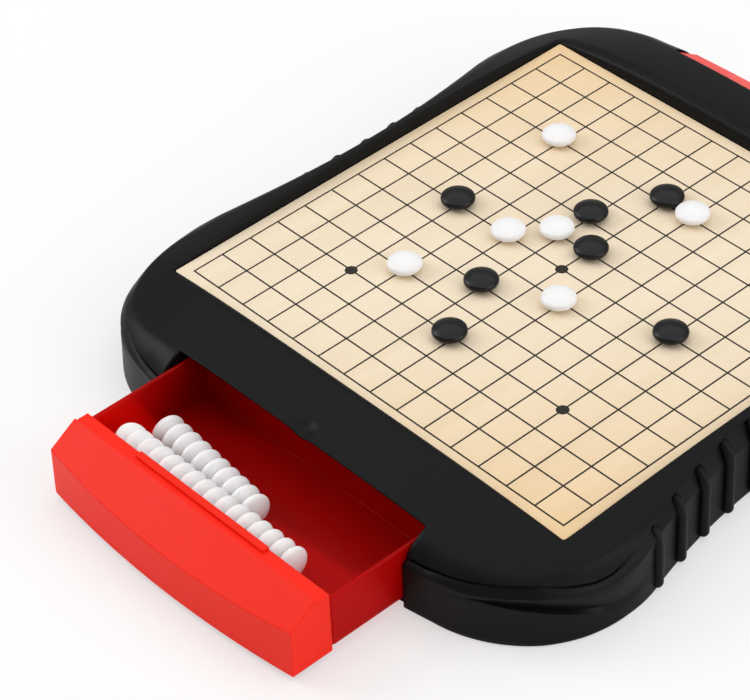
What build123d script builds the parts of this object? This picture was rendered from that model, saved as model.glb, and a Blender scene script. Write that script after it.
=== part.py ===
# A five-in-a-row and small go board: a waisted plastic case with a recessed playing sheet over
# a steel plate, lens-shaped magnetic stones, and a stone drawer in the front and in the back.
# Millimetres.  Origin: centre of the case's underside, on the table.  +X right, +Y back, +Z up.
# At rest the front drawer stands open and the back drawer is closed.
import math
import os

from build123d import *

# ---- playing grid and sheet -------------------------------------------------------------
GRID_PITCH = 14.0
GRID_SPACES = 14
SHEET_MARGIN = 5.4
SHEET_THICKNESS = 0.5
PLATE_THICKNESS = 0.6
SHEET_CLEARANCE = 0.2
SHEET_CORNER_RADIUS = 1.0

# ---- stones -----------------------------------------------------------------------------
STONE_DIAMETER = 13.6
STONE_THICKNESS = 5.9
STONE_RIM_HEIGHT = 2.7
STONE_RIM_WIDTH = 0.75
STONE_REST_GAP = 0.1
STONE_ROW_GAP = 0.1

# ---- case heights -----------------------------------------------------------------------
SHEET_TOP = 30.8
SKIRT_BOTTOM = 0.8
COVER_THICKNESS = 2.0
DECK_THICKNESS = 1.8
CREST_HEIGHT = 41.6
SIDE_FALL = 5.6
SIDE_FALL_POWER = 4.0
END_FALL = 3.9
END_FALL_POWER = 3.5
LEDGE_DROP = 5.0
RIM_BEVEL = 15.0

# ---- case plan --------------------------------------------------------------------------
WALL = 2.2
SIDE_HALF_WIDTH = 110.5
SIDE_WAIST_RADIUS = 275.0
FRONT_HALF_LENGTH = 149.0
FRONT_BULGE_RADIUS = 440.0
CORNER_RADIUS = 53.0
CAP_SIDE_INSET = 2.0
CAP_FRONT_INSET = 2.2
CROWN_HALF_WIDTH = 106.4
CROWN_HALF_LENGTH = 132.6
CROWN_BULGE_RADIUS = 3000.0
CROWN_CORNER_RADIUS = 38.0
CAP_BOTTOM = 20.0
CROWN_BOTTOM = 32.6
DIMPLE_RADIUS = 12.0
DIMPLE_DEPTH = 1.0
DIMPLE_SETBACK = 3.6

# ---- grip ribs --------------------------------------------------------------------------
RIBS_PER_SIDE = 11
RIB_PITCH = 14.94
RIB_DIAMETER = 4.5
RIB_STAND_OUT = 2.2
RIB_BOTTOM = 1.2
RIB_LEAN_IN = 5.6
RIB_LEAN_UP = 2.8

# ---- drawers ----------------------------------------------------------------------------
OPENING_HALF_WIDTH = 65.6
OPENING_TOP = 31.6
LINTEL_FACE = 132.0
TRAY_SIDE_CLEARANCE = 0.8
TRAY_WALL = 1.6
TRAY_BOTTOM = 4.3
TRAY_TOP = 27.4
TRAY_BACK = 70.9
PANEL_BACK = 126.5
PANEL_BOTTOM = 2.5
PANEL_END_CLEARANCE = 0.6
PANEL_TOP_EDGE = 132.3
PANEL_TOP = 31.2
PANEL_FRONT = 149.4
PANEL_BULGE_RADIUS = 459.0
PANEL_WALL = 2.2
FACET_ANGLE = 32.0
LIP_DROP = 1.3
LIP_WIDTH = 2.8
TONGUE_HALF_WIDTH = 34.4
RUNNER_HALF_SPACING = 45.0
RUNNER_WIDTH = 4.0
SLIDE_CLEARANCE = 0.3
GUIDE_THICKNESS = 2.0
STOP_WEB_THICKNESS = 2.0
LUG_WIDTH = 8.0
LUG_LENGTH = 3.0
LUG_SPACING = 40.0
LUG_COUNT = 3
LUG_CLEARANCE = 0.1
DRAWER_OPEN = 50.0
CATCH_WIDTH = 9.0
CATCH_LENGTH = 2.0

# ---- case screws ------------------------------------------------------------------------
SCREW_X = 86.0
SCREW_Y = 100.0
BOSS_DIAMETER = 7.0
SCREW_SHANK_DIAMETER = 2.9
SCREW_HEAD_DIAMETER = 5.6
SCREW_HEAD_HEIGHT = 1.1
SCREW_LENGTH = 11.0
SCREW_CLEARANCE = 0.05
HEAD_CLEARANCE = 0.2
COVER_CLEARANCE = 0.3

# ---- stones on the board: grid line numbers from the left and the front, 0 to 14 --------
WHITE_PLACES = [(2.93, 11.0), (4.96, 7.0), (5.84, 7.99), (8.02, 11.03), (4.01, 4.04), (7.98, 5.9)]
BLACK_PLACES = [(2.97, 7.02), (6.0, 9.14), (7.1, 8.02), (7.01, 11.09), (5.97, 5.0),
                (6.88, 2.96), (11.02, 6.98)]

# ---- stone rows in a drawer: first and last stone measured in the closed drawer ----------
FAR_ROW_COUNT = 10
FAR_ROW_START = (-51.8, -101.4)
FAR_ROW_TURN = -5.8
NEAR_ROW_COUNT = 16
NEAR_ROW_START = (-53.2, -119.25)
NEAR_ROW_LIFT = 6.5
BLACK_NEAR_ROW_COUNT = 15

os.makedirs("parts", exist_ok=True)

# ---- derived sizes ----------------------------------------------------------------------
grid_half = GRID_PITCH * GRID_SPACES / 2
recess_half = grid_half + SHEET_MARGIN
plate_bottom = SHEET_TOP - SHEET_THICKNESS - PLATE_THICKNESS
deck_bottom = plate_bottom - DECK_THICKNESS
tray_half_width = OPENING_HALF_WIDTH - TRAY_SIDE_CLEARANCE
tray_floor = TRAY_BOTTOM + TRAY_WALL
runner_top = TRAY_BOTTOM - SLIDE_CLEARANCE
panel_half_width = OPENING_HALF_WIDTH - PANEL_END_CLEARANCE
stone_radius = STONE_DIAMETER / 2
stone_pitch = STONE_THICKNESS + STONE_ROW_GAP
skin_height = CREST_HEIGHT + 2.0
sheet_half = recess_half - SHEET_CLEARANCE
boss_bottom = COVER_THICKNESS
head_seat = SCREW_HEAD_HEIGHT
lip_depth = PANEL_TOP_EDGE - PANEL_BACK
catch_stop = PANEL_BACK - SLIDE_CLEARANCE - CATCH_LENGTH
lug_places = [(k - (LUG_COUNT - 1) / 2) * LUG_SPACING for k in range(LUG_COUNT)]


def save(piece, name):
    """Label one finished piece and write it out."""
    piece.part.label = name
    export_step(piece.part, f"parts/{name}.step")


def dome_height(x, y):
    """Height of the case's domed top: nearly flat in the middle, falling fast at the edges."""
    side = SIDE_FALL * abs(x / recess_half) ** SIDE_FALL_POWER
    end = END_FALL * abs(y / recess_half) ** END_FALL_POWER
    return CREST_HEIGHT - side - end


def dome_face(drop):
    """The domed top as one smooth face, lowered by drop."""
    count = 25
    reach_x = SIDE_HALF_WIDTH + 35.0
    reach_y = FRONT_HALF_LENGTH + 12.0
    rows = []
    for i in range(count):
        x = reach_x * (2 * i / (count - 1) - 1)
        line = []
        for j in range(count):
            y = reach_y * (2 * j / (count - 1) - 1)
            line.append(Vector(x, y, dome_height(x, y) - drop))
        rows.append(line)
    return Face.make_surface_from_array_of_points(rows, tol=0.02)


def case_outline(side, waist_radius, front, bulge_radius, corner):
    """A closed plan outline: hollow sides, bulging front and back, round corners."""
    side_reach = front
    side_sag = waist_radius - math.sqrt(waist_radius ** 2 - side_reach ** 2)
    front_reach = side + side_sag
    front_sag = bulge_radius - math.sqrt(bulge_radius ** 2 - front_reach ** 2)
    with BuildSketch(Plane.XY, mode=Mode.PRIVATE) as waist:
        with BuildLine():
            right = ThreePointArc((side + side_sag, -side_reach), (side, 0), (side + side_sag, side_reach))
            top = Line(right @ 1, (-side - side_sag, side_reach))
            left = ThreePointArc(top @ 1, (-side, 0), (-side - side_sag, -side_reach))
            Line(left @ 1, right @ 0)
        make_face()
    with BuildSketch(Plane.XY, mode=Mode.PRIVATE) as bulge:
        with BuildLine():
            low = ThreePointArc((-front_reach, front_sag - front), (0, -front), (front_reach, front_sag - front))
            end = Line(low @ 1, (front_reach, front - front_sag))
            high = ThreePointArc(end @ 1, (0, front), (-front_reach, front - front_sag))
            Line(high @ 1, low @ 0)
        make_face()
    with BuildSketch(Plane.XY, mode=Mode.PRIVATE) as outline:
        add(waist.sketch)
        add(bulge.sketch, mode=Mode.INTERSECT)
        fillet(outline.vertices(), radius=corner)
    return outline.sketch


def skirt_outline(inset):
    """The outer wall's outline, or one parallel to it at an inset."""
    return case_outline(SIDE_HALF_WIDTH - inset, SIDE_WAIST_RADIUS + inset,
                        FRONT_HALF_LENGTH - inset, FRONT_BULGE_RADIUS - inset, CORNER_RADIUS - inset)


def cap_outline(inset):
    """The outline where the cap meets the ledge."""
    return case_outline(SIDE_HALF_WIDTH - CAP_SIDE_INSET - inset, SIDE_WAIST_RADIUS,
                        FRONT_HALF_LENGTH - CAP_FRONT_INSET - inset, FRONT_BULGE_RADIUS,
                        CORNER_RADIUS - CAP_SIDE_INSET - inset)


def crown_outline(inset):
    """The outline where the cap's sloping sides end."""
    return case_outline(CROWN_HALF_WIDTH - inset, SIDE_WAIST_RADIUS * 1.2,
                        CROWN_HALF_LENGTH - inset, CROWN_BULGE_RADIUS, CROWN_CORNER_RADIUS - inset)



# ---- top shell: skirt, ledge, domed cap, grip ribs, deck, guides and screw bosses --------
with BuildPart() as skirt:
    with BuildSketch(Plane.XY.offset(SKIRT_BOTTOM)):
        add(skirt_outline(0))
    extrude(amount=skin_height)
    split(bisect_by=dome_face(LEDGE_DROP), keep=Keep.BOTTOM)

with BuildPart() as cap:
    with BuildSketch(Plane.XY.offset(CAP_BOTTOM)):
        add(cap_outline(0))
    with BuildSketch(Plane.XY.offset(CROWN_BOTTOM)):
        add(crown_outline(0))
    loft(ruled=True)
    with BuildSketch(Plane.XY.offset(CROWN_BOTTOM)):
        add(crown_outline(0))
    extrude(amount=skin_height - CROWN_BOTTOM)
    split(bisect_by=dome_face(0), keep=Keep.BOTTOM)

with BuildPart() as hollow:
    with BuildSketch(Plane.XY.offset(-1.0)):
        add(skirt_outline(WALL))
    extrude(amount=CAP_BOTTOM + 1.0)
    with BuildSketch(Plane.XY.offset(CAP_BOTTOM)):
        add(cap_outline(WALL))
    with BuildSketch(Plane.XY.offset(CROWN_BOTTOM)):
        add(crown_outline(WALL * 1.6))
    loft(ruled=True)
    with Locations((0, 0, deck_bottom)):
        Box(3 * SIDE_HALF_WIDTH, 3 * SIDE_HALF_WIDTH, skin_height,
            align=(Align.CENTER, Align.CENTER, Align.MIN), mode=Mode.SUBTRACT)


def wall_x(y):
    """Where the waisted side wall stands at y."""
    radius = SIDE_WAIST_RADIUS
    return SIDE_HALF_WIDTH + radius - math.sqrt(radius ** 2 - y ** 2)


def rib(y):
    """One grip rib: up the wall, over the ledge, and into the cap."""
    x = wall_x(y) + RIB_STAND_OUT - RIB_DIAMETER / 2
    bend = dome_height(x, y) - LEDGE_DROP - RIB_DIAMETER / 4
    with BuildPart(mode=Mode.PRIVATE) as bar:
        with BuildLine() as path:
            Polyline((x, y, RIB_BOTTOM + RIB_DIAMETER / 2), (x, y, bend),
                     (x - RIB_LEAN_IN, y, bend + RIB_LEAN_UP))
        with BuildSketch(Plane((x, y, RIB_BOTTOM + RIB_DIAMETER / 2))):
            Circle(RIB_DIAMETER / 2)
        sweep(path=path.wire(), transition=Transition.ROUND)
        with Locations((x, y, RIB_BOTTOM + RIB_DIAMETER / 2),
                       (x - RIB_LEAN_IN, y, bend + RIB_LEAN_UP)):
            Sphere(RIB_DIAMETER / 2)
    return bar.part


with BuildPart() as top_shell:
    add(skirt.part)
    add(cap.part)
    for k in range(RIBS_PER_SIDE):
        bar = rib((k - (RIBS_PER_SIDE - 1) / 2) * RIB_PITCH)
        add(bar)
        add(mirror(bar, Plane.YZ, mode=Mode.PRIVATE))
    add(hollow.part, mode=Mode.SUBTRACT)
    # recess for plate and sheet, opening out towards the crest
    with BuildSketch(Plane.XY.offset(plate_bottom)):
        RectangleRounded(2 * recess_half, 2 * recess_half, SHEET_CORNER_RADIUS)
    extrude(amount=SHEET_TOP - plate_bottom, mode=Mode.SUBTRACT)
    with BuildSketch(Plane.XY.offset(SHEET_TOP)):
        RectangleRounded(2 * recess_half, 2 * recess_half, SHEET_CORNER_RADIUS)
    extrude(amount=skin_height - SHEET_TOP, taper=-RIM_BEVEL, mode=Mode.SUBTRACT)
    for side in (-1, 1):
        # drawer mouth: the opening itself and the cut back lintel above it
        mouth_depth = FRONT_HALF_LENGTH - PANEL_BACK + 8.0
        with Locations((0, side * (PANEL_BACK - 4.0), 0)):
            Box(2 * OPENING_HALF_WIDTH, mouth_depth, OPENING_TOP,
                align=(Align.CENTER, Align.MIN if side > 0 else Align.MAX, Align.MIN), mode=Mode.SUBTRACT)
        with Locations((0, side * LINTEL_FACE, 0)):
            Box(2 * OPENING_HALF_WIDTH, mouth_depth, skin_height,
                align=(Align.CENTER, Align.MIN if side > 0 else Align.MAX, Align.MIN), mode=Mode.SUBTRACT)
        # finger dimple pressed into the lintel over the catch
        dimple_y = LINTEL_FACE - DIMPLE_SETBACK
        with Locations((0, side * dimple_y, dome_height(0, dimple_y) - DIMPLE_DEPTH + DIMPLE_RADIUS)):
            Sphere(DIMPLE_RADIUS, mode=Mode.SUBTRACT)
        # walls that guide the tray
        guide_outer = LINTEL_FACE + 9.0
        guide_inner = TRAY_BACK - STOP_WEB_THICKNESS - 1.0
        for hand in (-1, 1):
            with Locations((hand * (OPENING_HALF_WIDTH + GUIDE_THICKNESS / 2),
                            side * (guide_outer + guide_inner) / 2, runner_top)):
                Box(GUIDE_THICKNESS, guide_outer - guide_inner, deck_bottom - runner_top + 1.0,
                    align=(Align.CENTER, Align.CENTER, Align.MIN))
        # web that stops the tray when it is pushed home
        with Locations((0, side * (TRAY_BACK - SLIDE_CLEARANCE), runner_top)):
            Box(2 * (OPENING_HALF_WIDTH + GUIDE_THICKNESS), STOP_WEB_THICKNESS, deck_bottom - runner_top + 1.0,
                align=(Align.CENTER, Align.MAX if side > 0 else Align.MIN, Align.MIN))
    # bosses for the cover's screws
    boss_places = [(h * SCREW_X, v * SCREW_Y) for h in (-1, 1) for v in (-1, 0, 1)]
    with Locations(*[(x, y, boss_bottom) for x, y in boss_places]):
        Cylinder(BOSS_DIAMETER / 2, deck_bottom - boss_bottom + 0.5,
                 align=(Align.CENTER, Align.CENTER, Align.MIN))
    with Locations(*[(x, y, boss_bottom) for x, y in boss_places]):
        Cylinder(SCREW_SHANK_DIAMETER / 2 + SCREW_CLEARANCE, SCREW_LENGTH,
                 align=(Align.CENTER, Align.CENTER, Align.MIN), mode=Mode.SUBTRACT)
save(top_shell, "top_shell")

# ---- cover under the case, with the runners the trays slide on ---------------------------
with BuildPart() as bottom_cover:
    with BuildSketch():
        add(skirt_outline(WALL + COVER_CLEARANCE))
    extrude(amount=COVER_THICKNESS)
    runner_length = PANEL_BACK - SLIDE_CLEARANCE - TRAY_BACK
    for side in (-1, 1):
        with Locations(*[(hand * RUNNER_HALF_SPACING, side * (TRAY_BACK + runner_length / 2), COVER_THICKNESS)
                         for hand in (-1, 1)]):
            Box(RUNNER_WIDTH, runner_length, runner_top - COVER_THICKNESS,
                align=(Align.CENTER, Align.CENTER, Align.MIN))
        # catch that stops the tray's tab when the drawer is fully out
        with Locations((0, side * catch_stop, COVER_THICKNESS)):
            Box(CATCH_WIDTH, CATCH_LENGTH, runner_top - COVER_THICKNESS,
                align=(Align.CENTER, Align.MIN if side > 0 else Align.MAX, Align.MIN))
    with Locations(*[(x, y, 0) for x, y in boss_places]):
        Cylinder(SCREW_HEAD_DIAMETER / 2 + HEAD_CLEARANCE, SCREW_HEAD_HEIGHT,
                 align=(Align.CENTER, Align.CENTER, Align.MIN), mode=Mode.SUBTRACT)
        Cylinder(SCREW_SHANK_DIAMETER / 2 + SCREW_CLEARANCE, COVER_THICKNESS,
                 align=(Align.CENTER, Align.CENTER, Align.MIN), mode=Mode.SUBTRACT)
save(bottom_cover, "bottom_cover")

# ---- the six screws that close the case --------------------------------------------------
with BuildPart() as case_screws:
    with Locations(*[(x, y, head_seat) for x, y in boss_places]):
        Cylinder(SCREW_HEAD_DIAMETER / 2, SCREW_HEAD_HEIGHT - HEAD_CLEARANCE,
                 align=(Align.CENTER, Align.CENTER, Align.MAX))
        Cylinder(SCREW_SHANK_DIAMETER / 2, SCREW_LENGTH, align=(Align.CENTER, Align.CENTER, Align.MIN))
    with Locations(*[(x, y, head_seat - SCREW_HEAD_HEIGHT + HEAD_CLEARANCE) for x, y in boss_places]):
        Box(SCREW_HEAD_DIAMETER * 0.6, 0.7, 0.5, align=(Align.CENTER, Align.CENTER, Align.MIN), mode=Mode.SUBTRACT)
        Box(0.7, SCREW_HEAD_DIAMETER * 0.6, 0.5, align=(Align.CENTER, Align.CENTER, Align.MIN), mode=Mode.SUBTRACT)
save(case_screws, "case_screws")

# ---- steel plate and printed sheet in the recess -----------------------------------------
with BuildPart() as steel_plate:
    with BuildSketch(Plane.XY.offset(plate_bottom)):
        RectangleRounded(2 * sheet_half, 2 * sheet_half, SHEET_CORNER_RADIUS)
    extrude(amount=PLATE_THICKNESS)
save(steel_plate, "steel_plate")

with BuildPart() as playing_sheet:
    with BuildSketch(Plane.XY.offset(plate_bottom + PLATE_THICKNESS)):
        RectangleRounded(2 * sheet_half, 2 * sheet_half, SHEET_CORNER_RADIUS)
    extrude(amount=SHEET_THICKNESS)
save(playing_sheet, "playing_sheet")


# ---- drawers: each drawn closed in the front, then slid out or turned to the back --------
def tray():
    """An open box with a stop tab under its rear and snap lugs at its front."""
    length = PANEL_BACK - TRAY_BACK
    with BuildPart(mode=Mode.PRIVATE) as box:
        with BuildSketch(Plane.XY.offset(TRAY_BOTTOM)):
            with Locations((0, -PANEL_BACK)):
                Rectangle(2 * tray_half_width, length, align=(Align.CENTER, Align.MIN))
        extrude(amount=TRAY_TOP - TRAY_BOTTOM)
        with BuildSketch(Plane.XY.offset(tray_floor)):
            with Locations((0, -PANEL_BACK)):
                Rectangle(2 * (tray_half_width - TRAY_WALL), length - TRAY_WALL, align=(Align.CENTER, Align.MIN))
        extrude(amount=TRAY_TOP - tray_floor, mode=Mode.SUBTRACT)
        rim = box.faces().filter_by(Axis.Z).sort_by(Axis.Z)[-1]
        fillet(rim.outer_wire().edges().filter_by(Axis.Y), radius=TRAY_WALL * 0.45)
        with Locations((0, -TRAY_BACK, TRAY_BOTTOM)):
            Box(CATCH_WIDTH, CATCH_LENGTH, TRAY_BOTTOM - COVER_THICKNESS - SLIDE_CLEARANCE,
                align=(Align.CENTER, Align.MAX, Align.MAX))
        for x in lug_places:
            with Locations((x, -PANEL_BACK, TRAY_BOTTOM)):
                Box(LUG_WIDTH, LUG_LENGTH, TRAY_WALL, align=(Align.CENTER, Align.MAX, Align.MIN))
    return box.part


def panel_block(inset, bottom):
    """The bulging drawer front with its sloping upper facet, all faces moved in by inset."""
    reach = panel_half_width + PANEL_END_CLEARANCE
    sag = PANEL_BULGE_RADIUS - math.sqrt(PANEL_BULGE_RADIUS ** 2 - reach ** 2)
    tilt = math.radians(FACET_ANGLE)
    slope = Plane((0, -PANEL_TOP_EDGE + inset * math.sin(tilt), PANEL_TOP - inset * math.cos(tilt)),
                  x_dir=(1, 0, 0), z_dir=(0, -math.sin(tilt), math.cos(tilt)))
    with BuildPart(mode=Mode.PRIVATE) as block:
        with BuildSketch(Plane.XY.offset(bottom)):
            with BuildLine():
                face = ThreePointArc((-reach, sag - PANEL_FRONT + inset), (0, inset - PANEL_FRONT),
                                     (reach, sag - PANEL_FRONT + inset))
                Polyline(face @ 1, (reach, -PANEL_BACK - inset), (-reach, -PANEL_BACK - inset), face @ 0)
            make_face()
            Rectangle(2 * (panel_half_width - inset), 3 * PANEL_FRONT, mode=Mode.INTERSECT)
        extrude(amount=PANEL_TOP - bottom)
        split(bisect_by=slope, keep=Keep.BOTTOM)
        # lip behind the top edge, with the catch tongue left standing in the middle
        with Locations((0, -PANEL_BACK, PANEL_TOP)):
            Box(3 * panel_half_width, lip_depth + inset, LIP_DROP + inset,
                align=(Align.CENTER, Align.MAX, Align.MAX), mode=Mode.SUBTRACT)
    return block.part


def panel():
    """The drawer front: a shell open underneath, with a tongue on its lip and pockets for the lugs."""
    with BuildPart(mode=Mode.PRIVATE) as front:
        add(panel_block(0, PANEL_BOTTOM))
        add(panel_block(PANEL_WALL, PANEL_BOTTOM - 1.0), mode=Mode.SUBTRACT)
        with Locations((0, -PANEL_BACK, PANEL_TOP)):
            Box(2 * TONGUE_HALF_WIDTH, lip_depth - LIP_WIDTH, LIP_DROP,
                align=(Align.CENTER, Align.MAX, Align.MAX))
        for x in lug_places:
            with Locations((x, -PANEL_BACK, TRAY_BOTTOM - LUG_CLEARANCE)):
                Box(LUG_WIDTH + 2 * LUG_CLEARANCE, LUG_LENGTH + LUG_CLEARANCE, TRAY_WALL + 2 * LUG_CLEARANCE,
                    align=(Align.CENTER, Align.MAX, Align.MIN), mode=Mode.SUBTRACT)
    return front.part


def stone():
    """One lens-shaped stone lying flat, centred on its own middle."""
    shoulder = stone_radius - STONE_RIM_WIDTH
    with BuildPart(mode=Mode.PRIVATE) as lens:
        with BuildSketch(Plane.XZ):
            with BuildLine():
                top = TangentArc((0, STONE_THICKNESS / 2), (shoulder, STONE_RIM_HEIGHT / 2), tangent=(1, 0))
                rim = ThreePointArc(top @ 1, (stone_radius, 0), (shoulder, -STONE_RIM_HEIGHT / 2))
                low = TangentArc((0, -STONE_THICKNESS / 2), rim @ 1, tangent=(1, 0))
                Line(low @ 0, top @ 0)
            make_face()
        revolve(axis=Axis.Z)
    return lens.part


def stone_row(start, height, count, turn):
    """Stones standing on edge face to face, in a row turned by turn degrees from +X."""
    with BuildPart(mode=Mode.PRIVATE) as row:
        for k in range(count):
            along = k * stone_pitch
            x = start[0] + along * math.cos(math.radians(turn))
            y = start[1] + along * math.sin(math.radians(turn))
            add(Location((x, y, height), (0, 90, turn)) * stone())
    return row.part


def slid_out(piece):
    return Location((0, -DRAWER_OPEN, 0)) * piece


def turned_back(piece):
    return Location((0, 0, 0), (0, 0, 180)) * piece


far_height = tray_floor + STONE_ROW_GAP + stone_radius
near_height = far_height + NEAR_ROW_LIFT

with BuildPart() as front_tray:
    add(slid_out(tray()))
save(front_tray, "front_tray")

with BuildPart() as front_panel:
    add(slid_out(panel()))
save(front_panel, "front_panel")

with BuildPart() as white_far_row:
    add(slid_out(stone_row(FAR_ROW_START, far_height, FAR_ROW_COUNT, FAR_ROW_TURN)))
save(white_far_row, "white_far_row")

with BuildPart() as white_near_row:
    add(slid_out(stone_row(NEAR_ROW_START, near_height, NEAR_ROW_COUNT, 0)))
save(white_near_row, "white_near_row")

with BuildPart() as back_tray:
    add(turned_back(tray()))
save(back_tray, "back_tray")

with BuildPart() as back_panel:
    add(turned_back(panel()))
save(back_panel, "back_panel")

with BuildPart() as black_far_row:
    add(turned_back(stone_row(FAR_ROW_START, far_height, FAR_ROW_COUNT, FAR_ROW_TURN)))
save(black_far_row, "black_far_row")

with BuildPart() as black_near_row:
    add(turned_back(stone_row(NEAR_ROW_START, near_height, BLACK_NEAR_ROW_COUNT, 0)))
save(black_near_row, "black_near_row")

full_travel = catch_stop - SLIDE_CLEARANCE - CATCH_LENGTH - TRAY_BACK
print("drawer travel from closed to its stop:", round(full_travel, 2))

# ---- stones in play ----------------------------------------------------------------------
stone_height = SHEET_TOP + STONE_REST_GAP + STONE_THICKNESS / 2
for colour, places in (("white", WHITE_PLACES), ("black", BLACK_PLACES)):
    for number, (column, line) in enumerate(places, start=1):
        x = (column - GRID_SPACES / 2) * GRID_PITCH
        y = (line - GRID_SPACES / 2) * GRID_PITCH
        with BuildPart() as board_stone:
            add(Location((x, y, stone_height)) * stone())
        save(board_stone, f"{colour}_stone_{number}")
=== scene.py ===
# A five-in-a-row and small go board in a waisted black case, with magnetic stones and two red
# stone drawers, dressed over its frame.  Metres; +X right, +Y towards the closed drawer, +Z up.
import math

import bpy
import bmesh
import numpy as np
from mathutils import Matrix, Vector


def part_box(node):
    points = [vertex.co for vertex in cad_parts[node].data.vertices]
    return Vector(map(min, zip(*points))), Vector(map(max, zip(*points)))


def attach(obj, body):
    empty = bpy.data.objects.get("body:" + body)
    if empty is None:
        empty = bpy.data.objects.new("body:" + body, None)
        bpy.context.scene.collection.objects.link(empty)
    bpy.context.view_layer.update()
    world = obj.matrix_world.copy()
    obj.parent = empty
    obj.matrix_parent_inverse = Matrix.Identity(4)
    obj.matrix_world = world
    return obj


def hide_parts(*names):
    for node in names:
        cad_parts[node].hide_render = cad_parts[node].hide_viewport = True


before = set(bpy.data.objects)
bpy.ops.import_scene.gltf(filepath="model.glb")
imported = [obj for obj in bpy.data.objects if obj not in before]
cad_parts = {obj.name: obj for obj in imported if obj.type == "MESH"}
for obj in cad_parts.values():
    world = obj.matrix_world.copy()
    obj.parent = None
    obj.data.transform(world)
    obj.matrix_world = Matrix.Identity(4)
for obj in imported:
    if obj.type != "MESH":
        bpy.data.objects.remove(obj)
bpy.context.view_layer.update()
mm = 0.001

# ---- Case shell --------------------------------------------------------------------------
# One black moulding: a low dome that carries the sheet, rolling over a shoulder to a narrow
# ledge and then down a waisted wall.  It is open at both drawer mouths and underneath, where the
# cover is screwed to it.

sheet_low, sheet_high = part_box("playing_sheet")
recess_half = sheet_high.x + 0.2 * mm
sheet_top = sheet_high.z
shell_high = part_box("top_shell")[1]
mouth_half = 65.6 * mm
lintel_front = 132.0 * mm
shell_skin = 0.8 * mm
dome_height = 41.6 * mm
dome_side_fall = 5.6 * mm
dome_end_fall = 3.9 * mm
side_columns, corner_columns, front_columns, mouth_columns = 46, 44, 14, 44


def dome(x, y):
    """Height of the domed top: its middle height, less a fourth-power fall to the sides and a
    3.5-power fall to the ends, both counted at the recess's edge."""
    side = dome_side_fall * np.abs(x / recess_half) ** 4.0
    end = dome_end_fall * np.abs(y / recess_half) ** 3.5
    return dome_height - side - end


def quarter_outline(side, waist_radius, front, bulge_radius, corner):
    """The front right quarter of a case outline, as points from the middle of the side round the
    corner to the mouth's edge: a hollow arc, a corner arc tangent to both, and a bulging arc."""
    waist_centre = np.array([side + waist_radius, 0.0])
    bulge_centre = np.array([0.0, bulge_radius - front])
    far = waist_radius + corner
    near = bulge_radius - corner
    step = bulge_centre - waist_centre
    span = np.hypot(*step)
    along = (far ** 2 - near ** 2 + span ** 2) / (2 * span)
    across = math.sqrt(far ** 2 - along ** 2)
    unit = step / span
    corner_centre = waist_centre + along * unit + across * np.array([-unit[1], unit[0]])
    if corner_centre[1] > 0:
        corner_centre = waist_centre + along * unit - across * np.array([-unit[1], unit[0]])
    on_side = waist_centre + (corner_centre - waist_centre) * waist_radius / far
    on_front = bulge_centre + (corner_centre - bulge_centre) * bulge_radius / near
    y = on_side[1] * np.linspace(0, 1, side_columns, endpoint=False)
    sides = np.stack([waist_centre[0] - np.sqrt(waist_radius ** 2 - y ** 2), y], 1)
    first = math.atan2(*(on_side - corner_centre)[::-1])
    last = math.atan2(*(on_front - corner_centre)[::-1])
    turn = first + (last - first) * np.linspace(0, 1, corner_columns, endpoint=False)
    corners = corner_centre + corner * np.stack([np.cos(turn), np.sin(turn)], 1)
    x = on_front[0] + (mouth_half - on_front[0]) * np.linspace(0, 1, front_columns + 1)
    fronts = np.stack([x, bulge_centre[1] - np.sqrt(bulge_radius ** 2 - x ** 2)], 1)
    return np.concatenate([sides, corners, fronts])


def soften(grid, weight, rounds):
    """Rounds a grid's edges: each inner row moves towards the middle of its neighbours, by weight."""
    for _ in range(rounds):
        middle = (grid[:-2] + grid[2:]) / 2
        grid[1:-1] += weight[1:-1, :, None] * (middle - grid[1:-1])
    return grid


def rows_between(a, b, count):
    """count rows on straight lines from row a towards row b, without b."""
    t = np.linspace(0, 1, count, endpoint=False)[:, None, None]
    return a + t * (b - a)


def lift(points, height):
    """Plan points with a height for each, as points in space."""
    return np.concatenate([points, np.broadcast_to(height, points.shape[:-1])[..., None]], -1)


def put_mesh(name, points, faces, angle=40.0):
    """A smooth mesh object from point and face arrays, with doubled points merged, faces turned
    out, and edges sharper than angle kept crisp."""
    mesh = bpy.data.meshes.new(name)
    mesh.from_pydata(points.reshape(-1, 3).tolist(), [], faces)
    work = bmesh.new()
    work.from_mesh(mesh)
    bmesh.ops.remove_doubles(work, verts=work.verts, dist=2e-6)
    bmesh.ops.dissolve_degenerate(work, edges=work.edges, dist=1e-7)
    bmesh.ops.recalc_face_normals(work, faces=work.faces)
    highest = max(work.faces, key=lambda face: face.calc_center_median().z)
    if highest.normal.z < 0:
        bmesh.ops.reverse_faces(work, faces=work.faces)
    work.to_mesh(mesh)
    work.free()
    mesh.shade_smooth()
    mesh.set_sharp_from_angle(angle=math.radians(angle))
    piece = bpy.data.objects.new(name, mesh)
    bpy.context.scene.collection.objects.link(piece)
    return piece


def grid_faces(rows, columns, first=0, wrap_rows=False, wrap_columns=False):
    """Quads of a rows by columns grid of points, numbered from first."""
    index = first + np.arange(rows * columns).reshape(rows, columns)
    if wrap_rows:
        index = np.concatenate([index, index[:1]], 0)
    if wrap_columns:
        index = np.concatenate([index, index[:, :1]], 1)
    quads = np.stack([index[:-1, :-1], index[1:, :-1], index[1:, 1:], index[:-1, 1:]], -1)
    return quads.reshape(-1, 4).tolist()


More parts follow.
